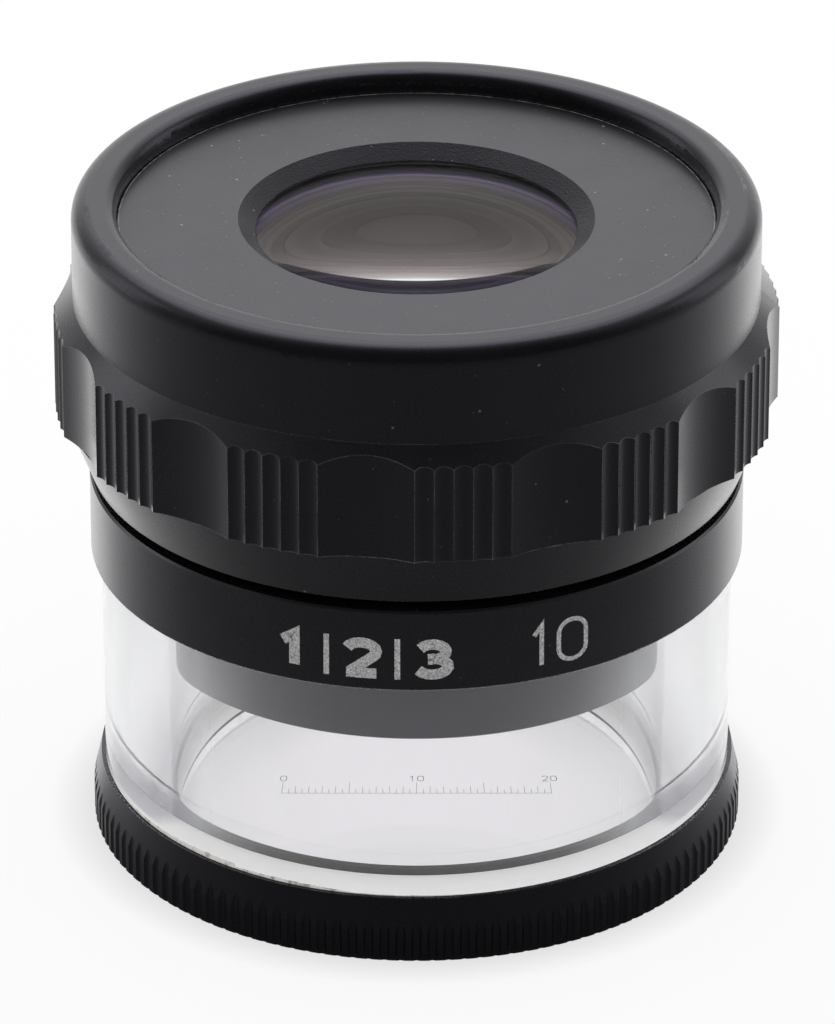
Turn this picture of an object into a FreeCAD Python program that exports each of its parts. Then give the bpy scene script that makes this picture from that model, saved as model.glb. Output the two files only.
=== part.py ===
import FreeCAD, Part
import os
import re
import Sketcher

# A focusing scale loupe. Z is the optical axis and the front faces -Y. Every size is in millimetres.

SIZES = {
    # Clearances and shares used by several pieces
    "fit_gap": 0.05,
    "seat_gap": 0.05,
    "slip_gap": 0.1,
    "overrun": 1.0,
    "edge_break": 0.15,
    # Grip ring, from which every other radius steps in or out
    "grip_radius": 26.0,
    "grip_height": 8.53,
    "flute_count": 12,
    "flute_share": 0.5,
    "flute_depth": 0.75,
    "flute_cutter_share": 0.42962,
    "ribs_per_group": 5,
    "rib_depth": 0.22,
    "rib_cutter_share": 0.04615,
    "grip_azimuth": -0.3,
    # Neck under the grip
    "neck_gap": 0.74,
    "neck_height": 4.37,
    "neck_setback": 0.7,
    "neck_draft": 1.7,
    "neck_wall": 1.6,
    "neck_lip_height": 1.6,
    # Damping ring in the neck's lip
    "damper_cord_radius": 0.45,
    "damper_groove_height": 1.0,
    # Body band and the collar that carries the focusing thread
    "band_step": 0.035,
    "band_height": 6.31,
    "collar_room": 1.5,
    "collar_wall": 2.55,
    "collar_margin": 0.6,
    "stop_thickness": 0.8,
    "stop_depth": 0.55,
    "stop_proud": 1.2,
    "stop_gap_angle": 18,
    # Travel of the focusing head
    "focus_rise": 3.0,
    "focus_drop": 0.45,
    "travel_gap": 0.1,
    "head_gap": 0.3,
    # Clear skirt
    "skirt_setback": 0.765,
    "skirt_room": 0.5,
    "skirt_height": 16.96,
    "skirt_shoulder": 1.27,
    "skirt_spigot_height": 3.1,
    # Insert in the foot of the skirt
    "insert_flange": 1.1,
    "insert_ledge": 0.45,
    "insert_rise": 0.56,
    # Base ring, knurled, and what it clamps
    "ring_step": 0.3,
    "ring_flare": 0.565,
    "ring_height": 4.87,
    "ring_taper_height": 2.47,
    "knurl_count": 130,
    "knurl_depth": 0.22,
    "knurl_cutter_radius": 0.38,
    "lip_thickness": 0.3,
    "lip_overlap": 1.3,
    "glass_setback": 0.2,
    "glass_thickness": 2.0,
    "gasket_thickness": 0.3,
    "gasket_width": 1.3,
    # Eyepiece cap and face ring
    "cap_setback": 1.38,
    "cap_shoulder": 1.72,
    "cap_wall": 3.22,
    "cap_height": 7.22,
    "cap_rim_round": 1.32,
    "recess_round": 0.9,
    "recess_depth": 1.494,
    "face_thickness": 1.5,
    "face_bore_gap": 0.25,
    "ledge_thickness": 1.2,
    "ledge_gap": 0.3,
    "eye_cover": 1.505,
    "opening_bevel": 1.235,
    "opening_depth": 0.912,
    "throat_height": 0.2,
    # Lens barrel and its lock ring
    "thread_relief": 0.35,
    "barrel_tail_length": 20.08,
    "barrel_plain_length": 7.6,
    "flange_thickness": 1.8,
    "cell_setback": 3.3,
    "cell_wall": 1.25,
    "shoulder_overlap": 0.8,
    "lens_shoulder_height": 1.0,
    "lock_thickness": 1.6,
    "lock_width": 3.8,
    "lock_gap": 0.32,
    "spanner_slot_width": 1.6,
    # Eye lens and what it sits on
    "eye_dome_radius": 70.0,
    "eye_lens_thickness": 4.4,
    "eye_seat_gap": 0.024,
    "washer_thickness": 0.3,
    "spacer_wall": 0.8,
    "ridge_count": 16,
    "ridge_depth": 0.25,
    # Field group
    "field_setback": 1.0,
    "crown_curve_share": 1.39167,
    "crown_share": 0.975,
    "flint_thickness": 1.5,
    "stop_plate_thickness": 0.5,
    "stop_cover": 1.7,
    "retainer_land": 3.2,
    "retainer_thickness": 1.6,
    "retainer_recess": 0.6,
    "retainer_overlap": 0.9,
}


def sagitta(curve, radius):
    """How far a sphere has fallen away at a radius from its vertex."""
    return f"({curve} - sqrt({curve}^2 - {radius}^2))"


# Radii and heights above the base that follow from the sizes, as expressions on the sheet
PLACES = {
    "cap_radius": "grip_radius - cap_setback",
    "grip_bore_radius": "cap_radius - cap_shoulder",
    "recess_radius": "cap_radius - cap_wall",
    "neck_top_radius": "grip_radius - neck_setback",
    "neck_foot_radius": "neck_top_radius - neck_draft",
    "neck_cavity_radius": "neck_foot_radius - neck_wall",
    "collar_radius": "neck_cavity_radius - collar_room",
    "neck_lip_radius": "collar_radius + slip_gap",
    "stop_groove_radius": "collar_radius - stop_depth",
    "damper_radius": "collar_radius + fit_gap + damper_cord_radius",
    "thread_radius": "collar_radius - collar_wall",
    "barrel_radius": "thread_radius - thread_relief",
    "band_radius": "neck_foot_radius + band_step",
    "skirt_radius": "band_radius - skirt_setback",
    "skirt_spigot_radius": "skirt_radius - skirt_shoulder",
    "skirt_bore_radius": "barrel_radius + skirt_room",
    "insert_thread_radius": "skirt_bore_radius + insert_flange",
    "insert_bore_radius": "skirt_bore_radius - insert_ledge",
    "glass_radius": "insert_thread_radius - glass_setback",
    "ring_shoulder_radius": "skirt_radius + ring_step",
    "ring_radius": "ring_shoulder_radius + ring_flare",
    "cell_radius": "barrel_radius - cell_setback",
    "cell_bore_radius": "cell_radius - cell_wall",
    "ledge_radius": "cell_radius + ledge_gap",
    "eye_lens_radius": "cell_bore_radius - fit_gap",
    "opening_throat_radius": "eye_lens_radius - eye_cover",
    "opening_radius": "opening_throat_radius + opening_bevel",
    "field_lens_radius": "eye_lens_radius - field_setback",
    "field_bore_radius": "field_lens_radius + fit_gap",
    "lens_shoulder_radius": "field_lens_radius - shoulder_overlap",
    "stop_plate_hole_radius": "field_lens_radius - stop_cover",
    "retainer_radius": "field_lens_radius + retainer_land",
    "crown_curve_radius": "field_lens_radius * crown_curve_share",
    "glass_base": "lip_thickness",
    "glass_top": "glass_base + glass_thickness",
    "insert_base": "glass_top + gasket_thickness",
    "skirt_base": "ring_height + seat_gap",
    "skirt_top": "skirt_base + skirt_height",
    "spigot_top": "skirt_top + skirt_spigot_height",
    "band_top": "skirt_top + band_height",
    "neck_base": "band_top + neck_gap",
    "neck_lip_top": "neck_base + neck_lip_height",
    "damper_height": "neck_base + neck_lip_height / 2",
    "stop_base": "neck_lip_top + focus_rise + travel_gap",
    "stop_top": "stop_base + stop_thickness",
    "collar_top": "stop_top + collar_margin",
    "flange_base": "collar_top + focus_drop + head_gap",
    "flange_top": "flange_base + flange_thickness",
    "lock_top": "flange_top + lock_thickness",
    "grip_base": "neck_base + neck_height",
    "grip_top": "grip_base + grip_height",
    "cap_top": "grip_top + cap_height",
    "face_top": "cap_top - recess_depth",
    "face_base": "face_top - face_thickness",
    "ledge_base": "face_base - ledge_thickness",
    "throat_top": "face_top - opening_depth",
    "throat_base": "throat_top - throat_height",
    "barrel_base": "flange_base - barrel_tail_length",
    "barrel_plain_top": "barrel_base + barrel_plain_length",
    "barrel_top": "face_base - slip_gap",
    "eye_vertex": "throat_base - eye_seat_gap + " + sagitta("eye_dome_radius", "opening_throat_radius"),
    "eye_base": "eye_vertex - eye_lens_thickness",
    "washer_base": "eye_base - washer_thickness",
    "retainer_base": "barrel_base + retainer_recess",
    "field_base": "retainer_base + retainer_thickness",
    "cement_vertex": "field_base + flint_thickness",
    "crown_vertex": "cement_vertex + field_lens_radius * crown_share",
    "field_shoulder": "crown_vertex + fit_gap - " + sagitta("crown_curve_radius", "lens_shoulder_radius"),
    "stop_plate_base": "field_shoulder + lens_shoulder_height",
    "spacer_base": "stop_plate_base + stop_plate_thickness",
}

doc = FreeCAD.newDocument("scale_loupe")
sheet = doc.addObject("Spreadsheet::Sheet", "Sizes")
for row, (alias, size) in enumerate(SIZES.items(), start=1):
    sheet.set(f"A{row}", alias)
    sheet.set(f"B{row}", str(size))
    sheet.setAlias(f"B{row}", alias)
doc.recompute()


def bound(text):
    """Writes an expression's names of sizes and places as cells of the sheet."""

    def cell(match):
        word = match.group(0)
        if word in PLACES:
            return "(" + bound(PLACES[word]) + ")"
        return "Sizes." + word if word in SIZES else word

    return re.sub(r"[a-z][a-z_]*", cell, text)


def value(owner, text):
    """What an expression on the sheet comes to now."""
    return float(owner.evalExpression(bound(text)))


def origin_feature(body, role):
    return next(item for item in body.Origin.OriginFeatures if item.Role == role)


def new_body(name):
    body = doc.addObject("PartDesign::Body", name)
    body.Label = name
    return body


def new_sketch(body, name, role):
    sketch = body.newObject("Sketcher::SketchObject", name)
    sketch.AttachmentSupport = [(origin_feature(body, role), "")]
    sketch.MapMode = "FlatFace"
    return sketch


def constrain(sketch, kind, items, text):
    """Adds one dimension and binds it to the sheet."""
    index = sketch.addConstraint(Sketcher.Constraint(kind, *items, value(sketch, text)))
    sketch.setExpression(f"Constraints[{index}]", bound(text))


def pin_point(sketch, item, point, across, up):
    """Holds one point at two signed distances from the sketch's origin."""
    for kind, axis, text in (("DistanceX", -2, across), ("DistanceY", -1, up)):
        if text == "0":
            sketch.addConstraint(Sketcher.Constraint("PointOnObject", item, point, axis))
        else:
            constrain(sketch, kind, (-1, 1, item, point), text)


def arc_between(start, end, bend):
    """Arc from start to end whose centre is on the left of that line for a positive radius."""
    radius = abs(bend)
    chord = end - start
    middle = (start + end) / 2
    left = FreeCAD.Vector(-chord.y, chord.x, 0).normalize()
    reach = (radius**2 - (chord.Length / 2) ** 2) ** 0.5
    centre = middle + left * (reach if bend > 0 else -reach)
    crown = centre - left * (radius if bend > 0 else -radius)
    return Part.Arc(start, crown, end)


def outline(sketch, corners):
    """Closed outline. A corner is (across, up), with a signed bend where an arc leaves it."""
    places = [FreeCAD.Vector(value(sketch, c[0]), value(sketch, c[1]), 0) for c in corners]
    ends = []
    for index, corner in enumerate(corners):
        start = places[index]
        end = places[(index + 1) % len(corners)]
        if len(corner) == 2:
            item = sketch.addGeometry(Part.LineSegment(start, end), False)
            ends.append((item, 1, 2))
            continue
        bend = value(sketch, corner[2])
        item = sketch.addGeometry(arc_between(start, end, bend), False)
        first, last = (1, 2) if bend > 0 else (2, 1)
        ends.append((item, first, last))
    for index, (item, first, last) in enumerate(ends):
        following = ends[(index + 1) % len(ends)]
        sketch.addConstraint(Sketcher.Constraint("Coincident", item, last, following[0], following[1]))
        pin_point(sketch, item, first, corners[index][0], corners[index][1])
        if len(corners[index]) == 3:
            constrain(sketch, "Radius", (item,), corners[index][2].lstrip("-"))


def turned(name, corners, angle="360"):
    """Body turned about Z from a half section given as (radius, height) corners."""
    body = new_body(name)
    sketch = new_sketch(body, name + "_section", "XZ_Plane")
    outline(sketch, corners)
    turn = body.newObject("PartDesign::Revolution", name + "_turn")
    turn.Profile = sketch
    turn.ReferenceAxis = (sketch, ["V_Axis"])
    turn.setExpression("Angle", bound(angle))
    doc.recompute()
    return body


def dress(body, kind, size, corners):
    """Rounds or bevels the turned edges that lie at the (radius, height) corners."""
    base = body.Tip
    tolerance = value(base, "fit_gap") / 10
    names = []
    for radius_text, height_text in corners:
        radius = value(base, radius_text)
        height = value(base, height_text)
        for index, edge in enumerate(base.Shape.Edges, start=1):
            if not isinstance(edge.Curve, Part.Circle):
                continue
            off = abs(edge.Curve.Radius - radius) + abs(edge.Curve.Center.z - height)
            if off < tolerance:
                names.append(f"Edge{index}")
    if len(names) != len(corners):
        raise RuntimeError(f"{body.Label}: found {len(names)} of {len(corners)} edges to dress")
    feature = body.newObject(f"PartDesign::{kind}", f"{body.Name}_{kind}_{len(body.Group)}")
    feature.Base = (base, names)
    feature.setExpression("Radius" if kind == "Fillet" else "Size", bound(size))
    body.Tip = feature
    doc.recompute()


def cut_upward(body, name, draw, base, height, azimuth="0"):
    """Pocket that runs up from a height, drawn on a sketch turned to an azimuth from the front."""
    before = body.Shape.Volume
    sketch = new_sketch(body, name + "_sketch", "XY_Plane")
    sketch.setExpression(".AttachmentOffset.Base.z", bound(base))
    sketch.setExpression(".AttachmentOffset.Rotation.Angle", bound(azimuth))
    draw(sketch)
    pocket = body.newObject("PartDesign::Pocket", name)
    pocket.Profile = sketch
    pocket.Reversed = True
    pocket.setExpression("Length", bound(height))
    doc.recompute()
    if not body.Shape.Volume < before:
        raise RuntimeError(f"{name} cuts nothing")
    return pocket


def circle_at(radius, distance):
    """Draws a circle in front of the axis at a distance from it."""

    def draw(sketch):
        centre = FreeCAD.Vector(0, value(sketch, "-(" + distance + ")"), 0)
        circle = Part.Circle(centre, FreeCAD.Vector(0, 0, 1), value(sketch, radius))
        item = sketch.addGeometry(circle, False)
        sketch.addConstraint(Sketcher.Constraint("PointOnObject", item, 3, -2))
        constrain(sketch, "DistanceY", (item, 3, -1, 1), distance)
        constrain(sketch, "Radius", (item,), radius)

    return draw


def slot_across(width, reach):
    """Draws a slot right across the axis."""

    def draw(sketch):
        outline(
            sketch,
            [
                (f"-{width} / 2", f"-({reach})"),
                (f"{width} / 2", f"-({reach})"),
                (f"{width} / 2", reach),
                (f"-{width} / 2", reach),
            ],
        )

    return draw


def repeat_round(body, name, features, count):
    """Repeats cuts evenly about Z."""
    pattern = body.newObject("PartDesign::PolarPattern", name)
    pattern.Originals = features
    pattern.Axis = (origin_feature(body, "Z_Axis"), [""])
    pattern.Angle = 360
    pattern.setExpression("Occurrences", bound(count))
    body.Tip = pattern
    doc.recompute()


def make_base_ring():
    bore = "insert_thread_radius + fit_gap"
    ring = turned(
        "base_ring",
        [
            ("glass_radius - lip_overlap", "0"),
            ("ring_radius - edge_break", "0"),
            ("ring_radius", "edge_break"),
            ("ring_radius", "ring_height - ring_taper_height"),
            ("ring_shoulder_radius", "ring_height"),
            (bore, "ring_height"),
            (bore, "glass_base"),
            ("glass_radius - lip_overlap", "glass_base"),
        ],
    )
    centre = "ring_radius - knurl_depth + knurl_cutter_radius"
    notch = cut_upward(
        ring,
        "knurl_notch",
        circle_at("knurl_cutter_radius", centre),
        "-overrun",
        "ring_height + overrun",
    )
    repeat_round(ring, "knurl", [notch], "knurl_count")
    return ring


def make_scale_plate():
    plate = turned(
        "scale_plate",
        [
            ("0", "glass_base"),
            ("glass_radius", "glass_base"),
            ("glass_radius", "glass_top"),
            ("0", "glass_top"),
        ],
    )
    dress(plate, "Chamfer", "edge_break", [("glass_radius", "glass_top")])
    return plate


def make_scale_gasket():
    return turned(
        "scale_gasket",
        [
            ("insert_bore_radius + fit_gap", "glass_top"),
            ("insert_bore_radius + gasket_width", "glass_top"),
            ("insert_bore_radius + gasket_width", "insert_base"),
            ("insert_bore_radius + fit_gap", "insert_base"),
        ],
    )


def make_skirt_insert():
    spigot = "skirt_bore_radius - fit_gap"
    return turned(
        "skirt_insert",
        [
            ("insert_bore_radius", "insert_base"),
            ("insert_thread_radius", "insert_base"),
            ("insert_thread_radius", "skirt_base"),
            (spigot, "skirt_base"),
            (spigot, "skirt_base + insert_rise"),
            ("insert_bore_radius", "skirt_base + insert_rise"),
        ],
    )


def make_clear_skirt():
    return turned(
        "clear_skirt",
        [
            ("skirt_bore_radius", "skirt_base"),
            ("skirt_radius", "skirt_base"),
            ("skirt_radius", "skirt_top"),
            ("skirt_spigot_radius", "skirt_top"),
            ("skirt_spigot_radius", "spigot_top"),
            ("skirt_bore_radius", "spigot_top"),
        ],
    )


def make_body_band():
    bore = "thread_radius + fit_gap"
    socket = "skirt_spigot_radius + fit_gap"
    band = turned(
        "body_band",
        [
            (socket, "skirt_top"),
            ("band_radius", "skirt_top"),
            ("band_radius", "band_top"),
            ("collar_radius", "band_top"),
            ("collar_radius", "stop_base - fit_gap"),
            ("stop_groove_radius", "stop_base - fit_gap"),
            ("stop_groove_radius", "stop_top + fit_gap"),
            ("collar_radius", "stop_top + fit_gap"),
            ("collar_radius", "collar_top"),
            (bore, "collar_top"),
            (bore, "spigot_top + fit_gap"),
            (socket, "spigot_top + fit_gap"),
        ],
    )
    edges = [("band_radius", "skirt_top"), ("band_radius", "band_top"), (bore, "collar_top")]
    dress(band, "Chamfer", "edge_break", edges)
    return band


def make_travel_stop_ring():
    inner = "stop_groove_radius + fit_gap"
    outer = "collar_radius + stop_proud"
    return turned(
        "travel_stop_ring",
        [
            (inner, "stop_base"),
            (outer, "stop_base"),
            (outer, "stop_top"),
            (inner, "stop_top"),
        ],
        "360 - stop_gap_angle",
    )


def make_damping_ring():
    body = new_body("damping_ring")
    sketch = new_sketch(body, "damper_section", "XZ_Plane")
    centre = FreeCAD.Vector(value(sketch, "damper_radius"), value(sketch, "damper_height"), 0)
    circle = Part.Circle(centre, FreeCAD.Vector(0, 0, 1), value(sketch, "damper_cord_radius"))
    item = sketch.addGeometry(circle, False)
    pin_point(sketch, item, 3, "damper_radius", "damper_height")
    constrain(sketch, "Radius", (item,), "damper_cord_radius")
    turn = body.newObject("PartDesign::Revolution", "damper_turn")
    turn.Profile = sketch
    turn.ReferenceAxis = (sketch, ["V_Axis"])
    turn.Angle = 360
    doc.recompute()
    return body


def make_grip_ring():
    groove_floor = "damper_radius + damper_cord_radius + fit_gap"
    grip = turned(
        "grip_ring",
        [
            ("neck_lip_radius", "neck_base"),
            ("neck_foot_radius", "neck_base"),
            ("neck_top_radius", "grip_base"),
            ("grip_radius", "grip_base"),
            ("grip_radius", "grip_top - cap_setback"),
            ("cap_radius", "grip_top"),
            ("grip_bore_radius", "grip_top"),
            ("grip_bore_radius", "flange_base"),
            ("neck_cavity_radius", "flange_base"),
            ("neck_cavity_radius", "neck_lip_top"),
            ("neck_lip_radius", "neck_lip_top"),
            ("neck_lip_radius", "damper_height + damper_groove_height / 2"),
            (groove_floor, "damper_height + damper_groove_height / 2"),
            (groove_floor, "damper_height - damper_groove_height / 2"),
            ("neck_lip_radius", "damper_height - damper_groove_height / 2"),
        ],
    )
    dress(grip, "Chamfer", "edge_break", [("neck_foot_radius", "neck_base")])
    cuts = []
    rib_cutter = "grip_radius * rib_cutter_share"
    draw = circle_at(rib_cutter, f"grip_radius - rib_depth + {rib_cutter}")
    for rib in range(SIZES["ribs_per_group"]):
        azimuth = f"grip_azimuth + 360 / flute_count * (1 - flute_share) / ribs_per_group * {rib + 0.5}"
        name = f"rib_scallop_{rib + 1}"
        cuts.append(cut_upward(grip, name, draw, "grip_base", "grip_height + overrun", azimuth))
    flute_cutter = "grip_radius * flute_cutter_share"
    draw = circle_at(flute_cutter, f"grip_radius - flute_depth + {flute_cutter}")
    azimuth = "grip_azimuth + 360 / flute_count * (1 - flute_share / 2)"
    cuts.append(cut_upward(grip, "flute", draw, "grip_base", "grip_height + overrun", azimuth))
    repeat_round(grip, "grip_pattern", cuts, "flute_count")
    return grip


def make_lens_barrel():
    bevel = "thread_radius - barrel_radius"
    return turned(
        "lens_barrel",
        [
            ("retainer_radius", "barrel_base"),
            ("barrel_radius - edge_break", "barrel_base"),
            ("barrel_radius", "barrel_base + edge_break"),
            ("barrel_radius", "barrel_plain_top"),
            ("thread_radius", f"barrel_plain_top + {bevel}"),
            ("thread_radius", "flange_base"),
            ("grip_bore_radius - fit_gap", "flange_base"),
            ("grip_bore_radius - fit_gap", "flange_top"),
            ("cell_radius", "flange_top"),
            ("cell_radius", "barrel_top"),
            ("cell_bore_radius", "barrel_top"),
            ("cell_bore_radius", "stop_plate_base"),
            ("lens_shoulder_radius", "stop_plate_base"),
            ("lens_shoulder_radius", "field_shoulder"),
            ("field_bore_radius", "field_shoulder"),
            ("field_bore_radius", "field_base"),
            ("retainer_radius", "field_base"),
        ],
    )


def make_barrel_lock_ring():
    outer = "grip_bore_radius - fit_gap"
    lock = turned(
        "barrel_lock_ring",
        [
            (outer + " - lock_width", "flange_top"),
            (outer, "flange_top"),
            (outer, "lock_top"),
            (outer + " - lock_width", "lock_top"),
        ],
    )
    draw = slot_across("spanner_slot_width", "grip_bore_radius")
    cut_upward(lock, "lock_slot", draw, "lock_top - lock_thickness / 2", "lock_thickness")
    return lock


def make_eyepiece_cap():
    thread = "grip_bore_radius - fit_gap"
    cap = turned(
        "eyepiece_cap",
        [
            ("recess_radius", "lock_top + lock_gap"),
            (thread, "lock_top + lock_gap"),
            (thread, "grip_top"),
            ("cap_radius", "grip_top"),
            ("cap_radius", "cap_top"),
            ("recess_radius", "cap_top"),
            ("recess_radius", "face_base"),
            ("ledge_radius", "face_base"),
            ("ledge_radius", "ledge_base"),
            ("recess_radius", "ledge_base"),
        ],
    )
    dress(cap, "Fillet", "cap_rim_round", [("cap_radius", "cap_top")])
    dress(cap, "Fillet", "recess_round", [("recess_radius", "cap_top")])
    return cap


def make_face_ring():
    counterbore = "cell_bore_radius + face_bore_gap"
    face = turned(
        "face_ring",
        [
            (counterbore, "face_base"),
            ("recess_radius - fit_gap", "face_base"),
            ("recess_radius - fit_gap", "face_top"),
            ("opening_radius", "face_top"),
            ("opening_throat_radius", "throat_top"),
            ("opening_throat_radius", "throat_base"),
            (counterbore, "throat_base"),
        ],
    )
    edge = [("recess_radius - fit_gap", "face_top")]
    dress(face, "Chamfer", "edge_break / 2", edge)
    return face


def make_eye_lens():
    return turned(
        "eye_lens",
        [
            ("0", "eye_base"),
            ("eye_lens_radius", "eye_base"),
            ("eye_lens_radius", "eye_vertex - " + sagitta("eye_dome_radius", "eye_lens_radius"),
             "eye_dome_radius"),
            ("0", "eye_vertex"),
        ],
    )


def make_eye_lens_washer():
    inner = "eye_lens_radius - spacer_wall"
    return turned(
        "eye_lens_washer",
        [
            (inner, "washer_base"),
            ("eye_lens_radius", "washer_base"),
            ("eye_lens_radius", "eye_base"),
            (inner, "eye_base"),
        ],
    )


def make_lens_spacer():
    inner = "eye_lens_radius - spacer_wall"
    pitch = "(washer_base - spacer_base) / ridge_count"
    corners = [("eye_lens_radius", "spacer_base"), ("eye_lens_radius", "washer_base")]
    for ridge in range(SIZES["ridge_count"]):
        corners.append((inner, f"washer_base - {pitch} * {ridge}"))
        corners.append((inner + " + ridge_depth", f"washer_base - {pitch} * {ridge + 0.5}"))
    corners.append((inner, "spacer_base"))
    return turned("lens_spacer", corners)


def make_aperture_stop():
    return turned(
        "aperture_stop",
        [
            ("stop_plate_hole_radius", "stop_plate_base"),
            ("eye_lens_radius", "stop_plate_base"),
            ("eye_lens_radius", "spacer_base"),
            ("stop_plate_hole_radius", "spacer_base"),
        ],
    )


def make_field_lens_crown():
    fall = sagitta("crown_curve_radius", "field_lens_radius")
    return turned(
        "field_lens_crown",
        [
            ("0", "cement_vertex", "crown_curve_radius"),
            ("field_lens_radius", "cement_vertex + " + fall),
            ("field_lens_radius", "crown_vertex - " + fall, "crown_curve_radius"),
            ("0", "crown_vertex"),
        ],
    )


def make_field_lens_flint():
    fall = sagitta("crown_curve_radius", "field_lens_radius")
    return turned(
        "field_lens_flint",
        [
            ("0", "field_base"),
            ("field_lens_radius", "field_base"),
            ("field_lens_radius", "cement_vertex + " + fall, "-crown_curve_radius"),
            ("0", "cement_vertex"),
        ],
    )


def make_lens_retainer():
    outer = "retainer_radius - fit_gap"
    inner = "field_lens_radius - retainer_overlap"
    retainer = turned(
        "lens_retainer",
        [
            (inner, "retainer_base"),
            (outer, "retainer_base"),
            (outer, "field_base"),
            (inner, "field_base"),
        ],
    )
    draw = slot_across("spanner_slot_width", "retainer_radius")
    cut_upward(retainer, "retainer_slot", draw, "retainer_base - overrun",
               "overrun + retainer_thickness / 2")
    return retainer


def failed_objects():
    """Names the objects that did not recompute, and the bodies with no good solid."""
    bad = []
    for item in doc.Objects:
        if "Invalid" in item.State or "Error" in item.State:
            bad.append(item.Name)
        if item.TypeId == "PartDesign::Body" and (item.Shape.isNull() or not item.Shape.isValid()):
            bad.append(item.Label + " has no valid shape")
    return bad


pieces = [
    make_base_ring(),
    make_scale_plate(),
    make_scale_gasket(),
    make_skirt_insert(),
    make_clear_skirt(),
    make_body_band(),
    make_travel_stop_ring(),
    make_damping_ring(),
    make_grip_ring(),
    make_lens_barrel(),
    make_barrel_lock_ring(),
    make_eyepiece_cap(),
    make_face_ring(),
    make_eye_lens(),
    make_eye_lens_washer(),
    make_lens_spacer(),
    make_aperture_stop(),
    make_field_lens_crown(),
    make_field_lens_flint(),
    make_lens_retainer(),
]
doc.recompute()
problems = failed_objects()
if problems:
    raise RuntimeError("; ".join(problems))
os.makedirs("parts", exist_ok=True)
for piece in pieces:
    piece.Shape.exportStep(f"parts/{piece.Label}.step")
    box = piece.Shape.BoundBox
    print(f"{piece.Label}: volume {piece.Shape.Volume:.1f}, z {box.ZMin:.3f} to {box.ZMax:.3f}")
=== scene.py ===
import math

import bmesh
import bpy
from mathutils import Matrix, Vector, noise


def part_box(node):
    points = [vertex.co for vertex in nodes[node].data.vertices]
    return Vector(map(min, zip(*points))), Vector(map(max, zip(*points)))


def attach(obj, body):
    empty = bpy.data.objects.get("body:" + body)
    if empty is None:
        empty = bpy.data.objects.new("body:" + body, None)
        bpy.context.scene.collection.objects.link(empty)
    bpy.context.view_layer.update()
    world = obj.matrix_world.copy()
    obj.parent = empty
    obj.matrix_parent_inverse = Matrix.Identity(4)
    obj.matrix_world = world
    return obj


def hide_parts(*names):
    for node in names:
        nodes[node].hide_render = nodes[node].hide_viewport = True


# A focusing scale loupe on a clear skirt. Lengths are in millimetres here and in metres in Blender.
MM = 0.001

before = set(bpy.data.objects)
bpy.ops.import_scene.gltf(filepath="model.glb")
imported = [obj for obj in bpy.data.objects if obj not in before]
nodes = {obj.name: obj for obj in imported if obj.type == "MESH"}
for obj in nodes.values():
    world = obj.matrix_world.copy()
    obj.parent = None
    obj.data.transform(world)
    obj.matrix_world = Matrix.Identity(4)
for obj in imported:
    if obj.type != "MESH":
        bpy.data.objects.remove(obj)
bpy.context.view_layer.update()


def corners_mm(node):
    """Lowest and highest corner of a CAD node, in millimetres."""
    low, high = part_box(node)
    return low / MM, high / MM


def outer_radius(node):
    low, high = corners_mm(node)
    return (high.x - low.x) / 2


def points_mm(node):
    return [vertex.co / MM for vertex in nodes[node].data.vertices]


def from_axis(point):
    return math.hypot(point.x, point.y)


def height_of(point):
    return point.z


def steps_mm(node, measure):
    """The different values of a measure over a turned node's points, to a hundredth of a millimetre."""
    return sorted({round(measure(point), 2) for point in points_mm(node)})


# A step too small to see, which keeps two surfaces apart
HAIR = 0.01

# Sizes read from the frame
SKIRT_BORE, SKIRT_SPIGOT, SKIRT_RADIUS = steps_mm("clear_skirt", from_axis)
SKIRT_FOOT, SKIRT_SHOULDER, SKIRT_TOP = steps_mm("clear_skirt", height_of)
EYE_RADIUS = outer_radius("eye_lens")
FIELD_RADIUS = outer_radius("field_lens_crown")
BAND_RADIUS = outer_radius("body_band")
FACE_RADIUS = outer_radius("face_ring")
FACE_TOP = corners_mm("face_ring")[1].z
OPENING_RADIUS = min(from_axis(point) for point in points_mm("face_ring") if point.z > FACE_TOP - HAIR)
GLASS_FOOT = corners_mm("scale_plate")[0].z
GLASS_RADIUS = outer_radius("scale_plate")
INSERT_BORE = steps_mm("skirt_insert", from_axis)[0]
INSERT_FOOT, INSERT_TOP = (corner.z for corner in corners_mm("skirt_insert"))

# Camera, from the photograph's ellipses
IMAGE_HEIGHT_PIXELS = 1024
FOCAL_PIXELS = 8262.27
SENSOR_HEIGHT = 36.0
CAMERA_PLACE = (0.0657, -532.47, 299.17)
CAMERA_TILT = 0.477184667

# Studio, in metres: each lamp's place, size and power
LAMPS = {
    "lamp_above": ((0.0, 0.35, 0.75), (1.0, 0.6), 1.3),
    "lamp_left": ((-0.8, 0.3, 0.3), (0.4, 0.6), 0.5),
    "lamp_right": ((0.8, 0.3, 0.3), (0.4, 0.6), 0.5),
}
LAMP_TARGET = (0.0, 0.0, 0.03)
FLOOR_REACH = 3.0

# Brightness of the backdrop and of the floor from the front, 0, to the back, 1, as glossy surfaces see them.
# The floor's middle tone lies a shift in front of the axis.
BACKDROP_STOPS = [(0.0, 0.02), (0.3, 0.03), (0.42, 0.14), (0.5, 0.27), (0.67, 0.75), (0.8, 1.0)]
FLOOR_STOPS = [(0.0, 0.07), (0.33, 0.12), (0.5, 0.17), (0.67, 0.33), (0.82, 0.59), (0.93, 1.0)]
FLOOR_SHIFT = 18.0

# The most that the backdrop reaches from its middle, 0, to its sides, 1, and its least share at the very back
ASIDE_STOPS = [(0.17, 1.0), (0.3, 0.62), (0.45, 0.5), (0.6, 0.4), (0.78, 0.14), (0.92, 0.1)]
BACK_STOPS = [(0.89, 0.0), (0.95, 0.9)]

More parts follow.
